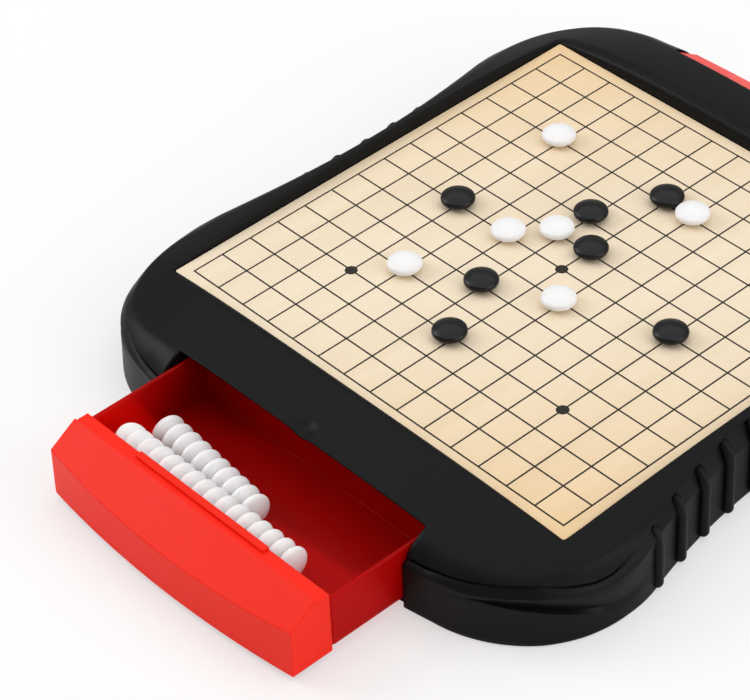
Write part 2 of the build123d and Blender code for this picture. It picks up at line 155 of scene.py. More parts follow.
# the plan outlines: the wall (skirt), the shoulder's lip (cap), the dome's edge (crown), the rim
waist_half = 110.5 * mm
hollow_radius = 275.0 * mm
wall_front = 149.0 * mm
end_radius = 440.0 * mm
corner_radius = 53.0 * mm
cap_inset = 2.0 * mm
cap_front_inset = 2.2 * mm
crest_radius = 1.4 * mm
nearly_straight = 40.0
skirt = quarter_outline(waist_half, hollow_radius, wall_front, end_radius, corner_radius)
cap = quarter_outline(waist_half - cap_inset, hollow_radius, wall_front - cap_front_inset, end_radius,
                      corner_radius - cap_inset)
crown = quarter_outline(side=107.0 * mm, waist_radius=430.0 * mm, front=132.72 * mm,
                        bulge_radius=3000.0 * mm, corner=38.0 * mm)
rim = quarter_outline(recess_half, nearly_straight, recess_half, nearly_straight, crest_radius)
# the distance walked along the skirt from the waist, in millimetres, places what changes round it
walked = np.concatenate([[0], np.cumsum(np.hypot(*np.diff(skirt, axis=0).T))]) / mm
outward = np.gradient(skirt, axis=0)[:, ::-1] * np.array([1.0, -1.0])
outward /= np.linalg.norm(outward, axis=1)[:, None]
outward *= np.sign((outward * skirt).sum(1))[:, None]
cap_draw_in = mm * np.interp(walked, [0, 80, 106], [0.5, 0.5, 0.0])
cap -= outward * cap_draw_in[:, None]
# how far the shoulder's lip lies under the dome, and how strongly the crease cuts in below it
ledge_drop = mm * np.interp(walked, [0, 70, 80, 88, 99, 106, 116, 126, 133, 145, 152, 162, 170, 178],
                            [0.1, 0.4, 1.2, 2.8, 5.4, 5.2, 3.3, 1.4, 1.2, 1.7, 2.6, 3.5, 4.8, 4.7])
undercut = np.interp(walked, [0, 78, 92, 106, 124], [0.9, 0.9, 0.4, 0.5, 1.0])
crease_depth = 1.0 * mm
crease_drop = 0.3 * mm
ledge_step = 0.2 * mm
least_shoulder = 4.9 * mm
wall_top = 25.3 * mm
rim_depth = 0.9 * mm
bevel = math.tan(math.radians(15.0))
rim_rise = dome(*rim.T) - sheet_top
crest = rim * (1 + rim_rise * bevel / recess_half)[:, None]

rim_foot = lift(rim, sheet_top - rim_depth)
rim_top = lift(crest, dome(*crest.T))
crown_line = lift(crown, dome(*crown.T))
cap_lip = lift(cap, dome(*cap.T) - ledge_drop)
# close to the mouth the crease cuts straight back, so that it ends in the plane of the mouth's edge
mouth_walk = 178.0
turn_walk = 8.0
sideways = np.clip((mouth_walk - walked) / turn_walk, 0, 1)
inward = -outward * np.stack([sideways, np.ones(len(walked))], 1)
crease_high = cap_lip[:, 2] - (crease_drop + crease_depth * undercut)
crease = lift(cap + inward * (crease_depth * undercut)[:, None], crease_high)
ledge_high = np.minimum(dome(*skirt.T) - least_shoulder, wall_top)
ledge = lift(skirt, np.minimum(crease_high - ledge_step * undercut, ledge_high))

# fingers' groove round each corner: crisp below at the front, and fading out along the side
groove_top = mm * np.interp(walked, [70, 75, 81, 88, 95, 101, 107, 113, 121, 135, 142, 152, 153],
                            [25.0, 24.6, 23.0, 19.5, 17.0, 16.4, 17.0, 18.6, 20.8, 21.9, 21.2, 19.5, 19.2])
groove_low = mm * np.interp(walked, [70, 80, 87, 94, 99, 104, 114, 129, 142, 152, 153],
                            [16.0, 13.0, 10.8, 9.6, 9.7, 10.4, 12.7, 16.6, 18.7, 19.4, 19.0])
groove_depth = mm * np.interp(walked, [72, 80, 87, 96, 104, 114, 129, 142, 152],
                              [0, 0.25, 0.45, 0.7, 1.2, 1.8, 1.8, 1.1, 0])
top_of_groove = lift(skirt, groove_top)
deepest = lift(skirt - outward * groove_depth[:, None], groove_low)
# the wall's foot flares a little round the corner, and the groove's lower edge softens sideways
groove_step = mm * np.interp(walked, [80, 96, 106, 118], [4.5, 3.5, 1.4, 0.3])
flare = mm * np.interp(walked, [92, 112, 126, 150, 166], [0, 1.0, 1.3, 0.5, 0])
flare_at_groove = 0.3
foot_high = 0.8 * mm
below_groove = lift(skirt + outward * (flare_at_groove * flare)[:, None], groove_low - groove_step)
foot = lift(skirt + outward * flare[:, None], foot_high)
foot[:, 0] = np.minimum(foot[:, 0], shell_high.x)
below_groove[:, 0] = np.minimum(below_groove[:, 0], shell_high.x)

# the profile's rows, from the rim's foot over the dome and the shoulder and down the wall
rim_rows, dome_rows, shoulder_rows, crease_rows, ledge_rows = 10, 30, 18, 2, 5
wall_rows, groove_rows, edge_rows, foot_rows = 9, 9, 2, 10
out_to_crown = (1 - (1 - np.arange(dome_rows) / dome_rows) ** 1.25)[:, None, None]
top_rows = rim_top + out_to_crown * (crown_line - rim_top)
top_rows[..., 2] = dome(top_rows[..., 0], top_rows[..., 1])
fall = (np.arange(shoulder_rows) / shoulder_rows)[:, None]
shoulder = rows_between(crown_line, cap_lip, shoulder_rows)
shoulder[..., 2] = dome(shoulder[..., 0], shoulder[..., 1]) - ledge_drop * fall ** 2
profile = np.concatenate([
    rows_between(rim_foot, rim_top, rim_rows),
    top_rows,
    shoulder,
    rows_between(cap_lip, crease, crease_rows),
    rows_between(crease, ledge, ledge_rows),
    rows_between(ledge, top_of_groove, wall_rows),
    rows_between(top_of_groove, deepest, groove_rows),
    rows_between(deepest, below_groove, edge_rows),
    rows_between(below_groove, foot, foot_rows),
    foot[None]])
crest_row = rim_rows
crown_row = crest_row + dome_rows
ledge_row = crown_row + shoulder_rows + crease_rows + ledge_rows
crest_softness = 0.35
ledge_softness = 0.8
softening_rounds = 26
weight = np.zeros(profile.shape[:2])
weight[crest_row - 3:crest_row + 4] = crest_softness
weight[ledge_row - 2:ledge_row + 4] = ledge_softness
profile = soften(profile, weight, softening_rounds)

# over the mouth: the same dome and rim, ending in the lintel's edge, with a thumb dimple there
to_middle = np.linspace(0, 1, mouth_columns + 1) ** 1.4
edge = profile[:crown_row + 1, -1]
mouth = np.repeat(edge[:, None], mouth_columns + 1, 1)
mouth[..., 0] = edge[:, None, 0] * (1 - to_middle)
climb = np.clip(np.arange(crown_row + 1) / crest_row, 0, 1)[:, None]
rise = dome(mouth[..., 0], mouth[..., 1]) - dome(edge[:, None, 0], mouth[..., 1])
mouth[..., 2] += rise * climb
ease_rows = 8
dimple_inset = 2.6 * mm
dimple_radius = 4.9 * mm
dimple_depth = 1.35 * mm
ease = np.clip(1 - (np.arange(crown_row + 1) - crest_row) / ease_rows, 0, 1)[:, None]
mouth[..., 1] -= rise * bevel * climb * ease
dimple_y = -(lintel_front - dimple_inset)
reach = np.hypot(mouth[..., 0], mouth[..., 1] - dimple_y) / dimple_radius
mouth[..., 2] -= dimple_depth * np.clip(1 - reach ** 2, 0, 1)

# the quarter and its mouth, mirrored to all four
points = []
faces = []
count = 0
for part in (profile, mouth):
    for flip_x in (1, -1):
        for flip_y in (1, -1):
            quarter = part * np.array([flip_x, flip_y, 1.0])
            quads = grid_faces(part.shape[0], part.shape[1], count)
            if flip_x * flip_y < 0:
                quads = [q[::-1] for q in quads]
            points.append(quarter.reshape(-1, 3))
            faces += quads
            count += quarter.shape[0] * quarter.shape[1]
case_shell = put_mesh("case_shell", np.concatenate(points), faces, angle=38.0)
thickness = case_shell.modifiers.new("wall thickness", "SOLIDIFY")
thickness.thickness = shell_skin
thickness.offset = -1.0
thickness.use_even_offset = False


class Shade:
    """Wraps one shader socket; arithmetic on it adds Math nodes, and node() adds any other node."""

    def __init__(self, tree, socket):
        self.tree = tree
        self.socket = socket

    def node(self, kind, settings, inputs, output=0):
        """A new node of a kind: its settings first, then its sockets' values or links."""
        made = self.tree.nodes.new(kind)
        for key, value in settings.items():
            setattr(made, key, value)
        for key, value in inputs.items():
            if isinstance(value, Shade):
                self.tree.links.new(value.socket, made.inputs[key])
            else:
                made.inputs[key].default_value = value
        return Shade(self.tree, made.outputs[output])

    def math(self, operation, *others):
        return self.node("ShaderNodeMath", {"operation": operation}, dict(enumerate((self,) + others)))

    def __add__(self, other):
        return self.math("ADD", other)

    def __sub__(self, other):
        return self.math("SUBTRACT", other)

    def __rsub__(self, other):
        return self.node("ShaderNodeMath", {"operation": "SUBTRACT"}, {0: other, 1: self})

    def __mul__(self, other):
        return self.math("MULTIPLY", other)

    def __truediv__(self, other):
        return self.math("DIVIDE", other)

    def __lt__(self, other):
        return self.math("LESS_THAN", other)

    __radd__ = __add__
    __rmul__ = __mul__

    def noise(self, scale, detail=2.0, roughness=0.5):
        return self.node("ShaderNodeTexNoise", {}, {"Vector": self, "Scale": scale, "Detail": detail,
                                                    "Roughness": roughness})

    def tint(self, dark, pale):
        """The colour between dark and pale that this value stands for."""
        return self.node("ShaderNodeMix", {"data_type": "RGBA"}, {0: self, 6: dark, 7: pale}, 2)

    def bump(self, strength, distance):
        return self.node("ShaderNodeBump", {}, {"Height": self, "Strength": strength, "Distance": distance})


def new_material(name, **constants):
    """A principled material with its Object coordinates and a function that links its sockets."""
    material = bpy.data.materials.new(name)
    material.use_nodes = True
    tree = material.node_tree
    surface = tree.nodes["Principled BSDF"]
    for key, value in constants.items():
        surface.inputs[key.replace("_", " ")].default_value = value
    place = Shade(tree, tree.nodes.new("ShaderNodeTexCoord").outputs["Object"])

    def link(**sockets):
        for key, value in sockets.items():
            tree.links.new(value.socket, surface.inputs[key.replace("_", " ")])
    return material, place, link


def black_plastic():
    """Satin black moulded plastic: a fine even grain, and faint cloudiness in the sheen."""
    material, place, link = new_material("black_case_plastic", IOR=1.49, Specular_IOR_Level=0.12)
    cloud = place.noise(22.0, 3.0)
    grain = place.noise(2600.0, 2.0)
    mottle = cloud * 0.5 + grain * 0.5
    link(Base_Color=mottle.tint((0.0030, 0.0030, 0.0032, 1), (0.0062, 0.0062, 0.0066, 1)),
         Roughness=0.33 + cloud * 0.10,
         Normal=grain.bump(0.18, 0.02 * mm))
    return material


case_plastic = black_plastic()
case_shell.data.materials.append(case_plastic)
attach(case_shell, "case")
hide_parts("top_shell")

# ---- Grip ribs ---------------------------------------------------------------------------
# Eleven round bars of the same plastic, sunk by half into each hollow side, for the fingers.  Each
# climbs the wall, bends over the ledge and dies into the shoulder.  They are moulded on the shell.

rib_radius = 2.3 * mm
rib_pitch = 14.94 * mm
rib_count = 11
rib_stand_out = 0.5 * mm
rib_low = 1.2 * mm
bend_start = 9.0 * mm
bend_knee = 3.0 * mm
bend_reach = 2.6 * mm
shoulder_inset = 2.5 * mm
shoulder_gap = 2.4 * mm
lip_gap = 1.2 * mm
lip_fall = 0.036


def rib_path(y):
    """A rib's middle line: straight up the wall, then a parabola that leans in over the ledge.  It
    ends a gap under the shoulder, or lower where the lip falls with the distance from the waist."""
    wall = waist_half + hollow_radius - math.sqrt(hollow_radius ** 2 - y ** 2)
    x = min(wall + rib_stand_out, shell_high.x - rib_radius)
    under_shoulder = dome(wall - shoulder_inset, y) - shoulder_gap
    under_lip = dome(wall, y) - lip_gap - lip_fall * abs(y)
    high = float(min(under_shoulder, under_lip))
    low = np.array([x, y, rib_low + rib_radius])
    leave = np.array([x, y, high - bend_start])
    knee = np.array([x, y, high - bend_knee])
    top = np.array([wall - bend_reach, y, high])
    straight = low + (leave - low) * np.linspace(0, 1, 6)[:, None]
    s = np.linspace(0, 1, 16)[1:, None]
    curve = (1 - s) ** 2 * leave + 2 * s * (1 - s) * knee + s ** 2 * top
    return np.concatenate([straight, curve])


def capsule_tube(path, radius, sides=20, cap_rings=6):
    """A round bar along a path in an X-Z plane, closed by a half ball at each end."""
    lean = np.gradient(path, axis=0)
    lean /= np.linalg.norm(lean, axis=1)[:, None]
    rise = np.linspace(math.pi / 2, 0, cap_rings, endpoint=False)
    low = path[0] - lean[0] * radius * np.sin(rise)[:, None]
    high = (path[-1] + lean[-1] * radius * np.sin(rise)[:, None])[::-1]
    middle = np.concatenate([low, path, high])
    along = np.concatenate([np.repeat(lean[:1], cap_rings, 0), lean, np.repeat(lean[-1:], cap_rings, 0)])
    size = np.concatenate([np.cos(rise), np.ones(len(path)), np.cos(rise)[::-1]]) * radius
    aside = np.array([0.0, 1.0, 0.0])
    out = np.cross(aside, along)
    turn = np.linspace(0, 2 * math.pi, sides, endpoint=False)
    ring = (np.cos(turn)[None, :, None] * aside + np.sin(turn)[None, :, None] * out[:, None, :])
    return middle[:, None, :] + ring * size[:, None, None]


points = []
faces = []
count = 0
for k in range(rib_count):
    rib_y = (k - (rib_count - 1) / 2) * rib_pitch
    tube = capsule_tube(rib_path(rib_y), rib_radius)
    for hand in (1, -1):
        points.append((tube * np.array([hand, 1, 1])).reshape(-1, 3))
        faces += grid_faces(tube.shape[0], tube.shape[1], count, wrap_columns=True)
        count += tube.shape[0] * tube.shape[1]
grip_ribs = put_mesh("grip_ribs", np.concatenate(points), faces)
grip_ribs.data.materials.append(case_plastic)
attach(grip_ribs, "case")

# ---- Inside of the case ------------------------------------------------------------------
# The deck under the steel plate, the walls that guide each drawer, the webs that stop it, and
# the bosses for the cover's screws.  All one moulding with the shell.

deck_low = 27.9 * mm
deck_high = sheet_low.z - 0.6 * mm
deck_half = recess_half + 0.4 * mm
runner_top = 4.0 * mm
guide_gap = 0.02 * mm
guide_wall = 2.0 * mm
guide_start = 67.9 * mm
guide_drop = 0.5 * mm
rim_clearance = 2.6 * mm
web_near = 68.6 * mm
web_far = 70.6 * mm
boss_x = 86.0 * mm
boss_y = 100.0 * mm
boss_low = 2.05 * mm
boss_radius = 3.5 * mm
pilot_radius = 1.5 * mm


def block(low, high):
    """The eight corners and six faces of an upright block."""
    xs, ys, zs = zip(low, high)
    corners = [(x, y, z) for x in xs for y in ys for z in zs]
    sides = [(0, 1, 3, 2), (4, 6, 7, 5), (0, 4, 5, 1), (2, 3, 7, 6), (0, 2, 6, 4), (1, 5, 7, 3)]
    return np.array(corners), sides


def joined(solids):
    """Several solids' points and faces as one list of each."""
    points = []
    faces = []
    count = 0
    for solid_points, solid_faces in solids:
        points.append(solid_points)
        faces += [tuple(i + count for i in face) for face in solid_faces]
        count += len(solid_points)
    return np.concatenate(points), faces


def bevelled(piece, width, segments=2, angle=35.0):
    """Rounds a hard piece's edges with a live bevel."""
    ease = piece.modifiers.new("eased edges", "BEVEL")
    ease.width = width
    ease.segments = segments
    ease.limit_method = "ANGLE"
    ease.angle_limit = math.radians(angle)
    ease.harden_normals = True


def post(x, y, low, high, outer, inner, sides=24):
    """An upright tube: four rings, outside and inside, closed on itself."""
    turn = np.linspace(0, 2 * math.pi, sides, endpoint=False)
    rings = [np.stack([x + r * np.cos(turn), y + r * np.sin(turn), np.full(sides, z)], 1)
             for r, z in ((outer, low), (outer, high), (inner, high), (inner, low))]
    return np.concatenate(rings), grid_faces(4, sides, 0, wrap_rows=True, wrap_columns=True)


def jamb(near, far, end):
    """A drawer's guide wall: from the stop web out to the mouth, its top under the shell's own line,
    as quads between that line and the runners' height, at two places across."""
    over = profile[crest_row + 1:ledge_row, -1, 1:] + np.array([0, -guide_drop])
    under_deck = [[-guide_start, deck_low], [-recess_half + rim_clearance, deck_low]]
    over = np.concatenate([under_deck, over])
    under = np.stack([over[:, 0], np.full(len(over), runner_top)], 1)
    rings = []
    for x in (near, far):
        rings += [np.insert(line, 0, x, axis=1) for line in (over, under)]
    corners = np.array([rings[0], rings[1], rings[3], rings[2]]) * np.array([1, -end, 1])
    size = len(over)
    sides = grid_faces(4, size, 0, wrap_rows=True)
    first = (0, size, 2 * size, 3 * size)
    last = tuple(i + size - 1 for i in first)
    return corners.reshape(-1, 3), sides + [first[::-1], last]


solids = [block((-deck_half, -deck_half, deck_low), (deck_half, deck_half, deck_high))]
for end in (-1, 1):
    for hand in (-1, 1):
        solids.append(jamb(hand * (mouth_half + guide_gap), hand * (mouth_half + guide_wall), end))
    web_low_y, web_high_y = sorted((end * web_near, end * web_far))
    solids.append(block((-mouth_half, web_low_y, runner_top),
                        (mouth_half, web_high_y, deck_low - guide_gap)))
for x in (-boss_x, boss_x):
    for y in (-boss_y, 0.0, boss_y):
        solids.append(post(x, y, boss_low, deck_low, boss_radius, pilot_radius))
case_inside = put_mesh("case_inside", *joined(solids))
bevelled(case_inside, 0.25 * mm)
case_inside.data.materials.append(case_plastic)
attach(case_inside, "case")

# ---- Cover, screws and steel plate -------------------------------------------------------
# The flat cover that closes the case from below, six small pan screws, and the plate of plain
# sheet steel under the playing sheet that the stones hold on to.


def machined_steel(name, colour, streak):
    """Plain steel with a faint rolled grain along Y."""
    material, place, link = new_material(name, Metallic=1.0)
    drawn = place.node("ShaderNodeMapping", {}, {"Vector": place, "Scale": (streak, streak * 0.04, streak)})
    grain = drawn.noise(1.0, 3.0)
    darker = tuple(c * 0.8 for c in colour[:3]) + (1,)
    link(Base_Color=grain.tint(darker, colour),
         Roughness=0.28 + grain * 0.2,
         Normal=grain.bump(0.15, 0.02 * mm))
    return material


def dress(node, material):
    """Gives a carried-over solid its finish."""
    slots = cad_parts[node].data.materials
    slots.clear()
    slots.append(material)


dress("bottom_cover", case_plastic)
dress("case_screws", machined_steel("zinc_screw_steel", (0.50, 0.50, 0.52, 1), 900.0))
dress("steel_plate", machined_steel("plain_sheet_steel", (0.55, 0.55, 0.56, 1), 600.0))

# ---- Playing sheet -----------------------------------------------------------------------
# A semi-matt plastic sheet printed with pale wood and a black grid of 15 by 15 lines, with five
# star points, lying on the steel plate in the recess.

grid_pitch = 14.0 * mm
grid_half = 7 * grid_pitch
star_offset = 4 * grid_pitch
line_half = 0.38 * mm
star_radius = 2.5 * mm


def printed_wood_grid():
    """The print: pale wood in long faint streaks along Y, warmer towards two corners by
    22 (y - x)^2, then lines where the nearest grid line is close, then the star points."""
    material, place, link = new_material("printed_wood_sheet", IOR=1.46, Specular_IOR_Level=0.3)
    parts = place.node("ShaderNodeSeparateXYZ", {}, {"Vector": place})
    x = parts
    y = Shade(parts.tree, parts.socket.node.outputs["Y"])
    long_grain = place.node("ShaderNodeMapping", {}, {"Vector": place, "Scale": (95.0, 7.0, 60.0)})
    fine_grain = place.node("ShaderNodeMapping", {}, {"Vector": place, "Scale": (420.0, 18.0, 200.0)})
    boards = long_grain.noise(1.0, 4.0, 0.55)
    fibres = fine_grain.noise(1.0, 3.0, 0.6)
    across = y - x
    warmth = (across * across * 22.0).math("MINIMUM", 1.0)
    pale = boards.tint((0.82, 0.68, 0.49, 1), (0.95, 0.83, 0.65, 1))
    deep = boards.tint((0.77, 0.52, 0.25, 1), (0.91, 0.64, 0.34, 1))
    wood = (warmth * 0.9).tint(pale, deep)
    wood = wood.node("ShaderNodeMix", {"data_type": "RGBA", "blend_type": "MULTIPLY"},
                     {0: fibres * 0.22, 6: wood, 7: (0.80, 0.70, 0.55, 1)}, 2)

    def off_line(value):
        """Distance from the nearest grid line across one axis."""
        step = (value / grid_pitch + 100.5).math("FRACT") - 0.5
        return step.math("ABSOLUTE") * grid_pitch

    edge = x.math("ABSOLUTE").math("MAXIMUM", y.math("ABSOLUTE"))
    near = off_line(x).math("MINIMUM", off_line(y))
    line = (near < line_half) * (edge < grid_half + line_half)
    # star points at the centre and four spaces out along both axes
    fold_x = (x.math("ABSOLUTE") - star_offset).math("ABSOLUTE")
    fold_y = (y.math("ABSOLUTE") - star_offset).math("ABSOLUTE")
    outer = (fold_x * fold_x + fold_y * fold_y).math("SQRT")
    centre = (x * x + y * y).math("SQRT")
    star = outer.math("MINIMUM", centre) < star_radius
    ink = line.math("MAXIMUM", star)
    colour = (ink * 0.98).tint(wood, (0.004, 0.003, 0.002, 1))
    link(Base_Color=colour, Roughness=0.42 + boards * 0.1, Normal=fibres.bump(0.05, 0.02 * mm))
    return material


dress("playing_sheet", printed_wood_grid())

# ---- Drawer trays ------------------------------------------------------------------------
# Each drawer is an open box in red plastic that lets some light through its thin walls.  It slides
# on two runners of the cover, between the guide walls.


def red_plastic(name, dark, pale, **through):
    """Red moulded plastic that lets light through, with faint flow marks and a fine grain."""
    material, place, link = new_material(name, Specular_IOR_Level=0.16, **through)
    flow = place.noise(30.0, 3.0)
    grain = place.noise(1800.0, 2.0)
    link(Base_Color=(flow * 0.6 + grain * 0.4).tint(dark, pale),
         Roughness=0.34 + flow * 0.10,
         Normal=grain.bump(0.10, 0.02 * mm))
    return material


# The tray's red is set darker than the front's red as painted shade for its inside under the case; the
# light through its thin walls comes from transmission.
shade_darkened_tray_plastic = red_plastic("red_tray_with_painted_shade", (0.66, 0.0018, 0.0004, 1), (0.80, 0.0032, 0.0009, 1),
                           IOR=1.18, Transmission_Weight=0.7)
drawer_plastic = red_plastic("red_front_plastic", (0.93, 0.014, 0.002, 1), (0.99, 0.022, 0.005, 1),
                             IOR=1.49, Subsurface_Weight=0.3, Subsurface_Radius=(1.0, 0.06, 0.02),
                             Subsurface_Scale=3.0 * mm)
tray_wall = 1.6 * mm
tray_corner = 1.6 * mm
tray_half = 64.8 * mm
tray_join = 126.5 * mm
tray_back = 70.9 * mm
tray_low = 4.3 * mm
tray_high = 27.4 * mm
panel_front = 149.4 * mm
front_slide = -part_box("front_panel")[0].y - panel_front
back_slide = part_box("back_panel")[1].y - panel_front


def tray_rings(half_x, low_y, high_y, low_z, high_z, wall, radius):
    """Rings round a tray from its underside up the outside, over the rounded rim and down the
    inside to the floor: each is a rectangle with rounded corners, inset by its step."""
    floor = low_z + wall
    lip = 0.5 * wall
    fillet = 0.3 * mm
    least_corner = 0.3 * mm
    over_rim = np.linspace(0, math.pi, 9)
    to_floor = np.linspace(0, math.pi / 2, 6)[1:]
    inset = np.concatenate([
        [0.8 * mm, 0.25 * mm, 0],
        np.zeros(5),
        lip - lip * np.cos(over_rim),
        np.full(5, wall),
        wall + fillet * (1 - np.cos(to_floor))])
    height = np.concatenate([
        [low_z, low_z + 0.1 * mm, low_z + 0.6 * mm],
        np.linspace(low_z + 3 * mm, high_z - 2 * lip, 5),
        high_z - lip + lip * np.sin(over_rim),
        np.linspace(high_z - 3 * mm, floor + fillet, 5),
        floor + fillet * (1 - np.sin(to_floor))])
    r = np.maximum(radius - inset, least_corner)[:, None]
    turn = np.linspace(0, 2 * math.pi, 32, endpoint=False) + math.pi / 32
    east = np.sign(np.cos(turn))
    north = np.sign(np.sin(turn))
    middle = (low_y + high_y) / 2
    half_y = (high_y - low_y) / 2
    x = east * (half_x - inset[:, None] - r) + r * np.cos(turn)
    y = middle + north * (half_y - inset[:, None] - r) + r * np.sin(turn)
    return np.stack([x, y, np.broadcast_to(height[:, None], x.shape)], -1)


def red_piece(name, points, faces, material, body, node, ease=0.0):
    """A red plastic piece in place of a drawer's solid, with its edges rounded by ease, if any."""
    piece = put_mesh(name, points, faces, angle=30.0)
    if ease:
        bevelled(piece, ease, 3, 30.0)
    piece.data.materials.append(material)
    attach(piece, body)
    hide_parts(node)


for drawer, end, slide in (("front", -1, front_slide), ("back", 1, back_slide)):
    low_y, high_y = sorted((end * (tray_join + slide), end * (tray_back + slide)))
    rings = tray_rings(tray_half, low_y, high_y, tray_low, tray_high, tray_wall, tray_corner)
    size = rings.shape[1]
    total = rings.shape[0] * size
    faces = grid_faces(rings.shape[0], size, 0, wrap_columns=True)
    faces += [tuple(range(size))[::-1], tuple(range(total - size, total))]
    red_piece(drawer + "_tray_box", rings, faces, shade_darkened_tray_plastic, drawer + "_drawer", drawer + "_tray")

# ---- Drawer fronts -----------------------------------------------------------------------
# The bulging red front of each drawer: a thin moulded shell, open underneath and joined to the
# tray's end, with a long sloping facet, a low lip behind it and a tongue that clicks in the case.

panel_half = 65.0 * mm
panel_low = 2.5 * mm
panel_high = 31.0 * mm
panel_edge = 132.3 * mm
panel_wall = 2.2 * mm
panel_bulge = 459.0 * mm
belly_inset = 0.35 * mm
lip_drop = 1.3 * mm
facet_slope = math.radians(32.0)
facet_fall = math.tan(facet_slope)
tongue_half = 34.4 * mm
tongue_depth = 3.0 * mm
tongue_root = 0.3 * mm


def front_sheet(half, inset):
    """The front's outer sheet, or its inner one moved in by inset: lines along X at the foot, the
    facet's lower and upper edges, the lip and the back, where the face is one wide arc."""
    x = np.linspace(-half, half, 61)
    face = panel_front - inset - (panel_bulge - np.sqrt(panel_bulge ** 2 - x ** 2))
    one = np.ones_like(x)
    cut = inset / math.cos(facet_slope)
    belly = face - belly_inset
    bend = panel_high - cut - (belly - panel_edge) * facet_fall
    back = (tray_join + inset) * one
    lip = (panel_high - lip_drop - inset) * one
    if inset:
        top = panel_edge + (panel_high - cut - lip) / facet_fall
        rows = [(belly, panel_low * one), (belly, bend), (top, lip), (back, lip),
                (back, panel_low * one)]
    else:
        rows = [(face, panel_low * one), (belly, bend), (panel_edge * one, panel_high * one),
                (panel_edge * one, lip), (back, lip), (back, panel_low * one)]
    return np.array([np.stack([x, away, height], 1) for away, height in rows])


def drawer_front():
    """One front as a closed shell: outer sheet, inner sheet, their end walls, and the rim that
    joins them along the open underside; then the tongue as a block on the lip."""
    outer = front_sheet(panel_half, 0.0)
    inner = front_sheet(panel_half - panel_wall, panel_wall)
    rows_out, columns, _ = outer.shape
    rows_in = inner.shape[0]
    start = rows_out * columns
    faces = grid_faces(rows_out, columns) + [q[::-1] for q in grid_faces(rows_in, columns, start)]
    index_out = np.arange(start).reshape(rows_out, columns)
    index_in = start + np.arange(rows_in * columns).reshape(rows_in, columns)
    for column in (0, -1):
        faces.append(tuple(index_out[:, column].tolist()))
        faces.append(tuple(index_in[:, column].tolist()))
        faces.append((int(index_out[0, column]), int(index_out[-1, column]),
                      int(index_in[-1, column]), int(index_in[0, column])))
    for row in (0, -1):
        strip = [index_out[row, :-1], index_out[row, 1:], index_in[row, 1:], index_in[row, :-1]]
        faces += np.stack(strip, -1).tolist()
    shell = np.concatenate([outer.reshape(-1, 3), inner.reshape(-1, 3)])
    tongue = block((-tongue_half, tray_join, panel_high - lip_drop - tongue_root),
                   (tongue_half, tray_join + tongue_depth, panel_high))
    return joined([(shell, faces), tongue])


for drawer, end, slide in (("front", -1, front_slide), ("back", 1, back_slide)):
    points, faces = drawer_front()
    points = (points + np.array([0, slide, 0])) * np.array([-end, end, 1])
    red_piece(drawer + "_drawer_front", points, faces, drawer_plastic, drawer + "_drawer",
              drawer + "_panel", ease=0.4 * mm)

# ---- Stones ------------------------------------------------------------------------------
# Small lens-shaped draughts of moulded plastic, black and white.  Some lie on the board, held to
# the steel plate by a magnet inside, and the rest stand on edge in two rows in each drawer.

stone_radius = 6.8 * mm
stone_half = 2.95 * mm
stone_pitch = 6.0 * mm
lens_radius = 12.24 * mm
lens_edge = 6.05 * mm
round_radius = 1.59 * mm
round_start = math.radians(58.0)


def stone_plastic(name, dark, pale, rough, shine):
    """Glossy moulded plastic with a faint cloudiness."""
    material, place, link = new_material(name, IOR=1.49, Specular_IOR_Level=shine)
    cloud = place.noise(140.0, 3.0)
    grain = place.noise(2200.0, 2.0)
    link(Base_Color=cloud.tint(dark, pale),
         Roughness=rough + cloud * 0.08,
         Normal=grain.bump(0.08, 0.02 * mm))
    return material


white_plastic = stone_plastic("white_stone_plastic", (0.90, 0.89, 0.89, 1), (0.94, 0.93, 0.93, 1),
                              rough=0.30, shine=0.4)
dark_plastic = stone_plastic("black_stone_plastic", (0.003, 0.003, 0.003, 1), (0.006, 0.006, 0.006, 1),
                             rough=0.28, shine=0.3)


def lens(rings=15, spokes=40):
    """A stone lying flat round its own middle: a shallow cap, a round rim and the same below.
    The cap is an arc of lens_radius, and the rim one of round_radius that meets it at lens_edge."""
    rise = np.linspace(0, math.asin(lens_edge / lens_radius), rings)
    cap_out = lens_radius * np.sin(rise)
    cap_up = stone_half - lens_radius * (1 - np.cos(rise))
    bend = np.linspace(round_start, 0, 8)[1:]
    rim_out = stone_radius - round_radius * (1 - np.cos(bend))
    rim_up = round_radius * np.sin(bend)
    out = np.concatenate([cap_out, rim_out])
    up = np.concatenate([cap_up, rim_up])
    out = np.concatenate([out, out[-2::-1]])
    up = np.concatenate([up, -up[-2::-1]])
    turn = np.linspace(0, 2 * math.pi, spokes, endpoint=False)
    x = out[:, None] * np.cos(turn)
    y = out[:, None] * np.sin(turn)
    points = np.stack([x, y, np.broadcast_to(up[:, None], x.shape)], -1)
    return points, grid_faces(len(out), spokes, 0, wrap_columns=True)


def stone_piece(name, centres, turns, material, body, node):
    """Stones at centres, each laid by its turn matrix, as one piece in place of a node."""
    shape, quads = lens()
    flat = shape.reshape(-1, 3)
    placed = [(flat @ turn.T + centre, quads) for centre, turn in zip(centres, turns)]
    piece = put_mesh(name, *joined(placed), angle=60.0)
    piece.data.materials.append(material)
    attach(piece, body)
    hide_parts(node)


for colour, material, count in (("white", white_plastic, 6), ("black", dark_plastic, 7)):
    for k in range(1, count + 1):
        name = f"{colour}_stone_{k}"
        low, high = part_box(name)
        centre = np.array((low + high) / 2)
        stone_piece(f"{colour}_draught_{k}", [centre], [np.eye(3)], material, name, name)


def on_edge(heading, lean):
    """The turn that stands a stone on edge with its axis along heading, tipped back by lean."""
    level = math.cos(lean)
    along = np.array([math.cos(heading) * level, math.sin(heading) * level, math.sin(lean)])
    aside = np.array([-math.sin(heading), math.cos(heading), 0.0])
    return np.stack([aside, np.cross(along, aside), along], 1)


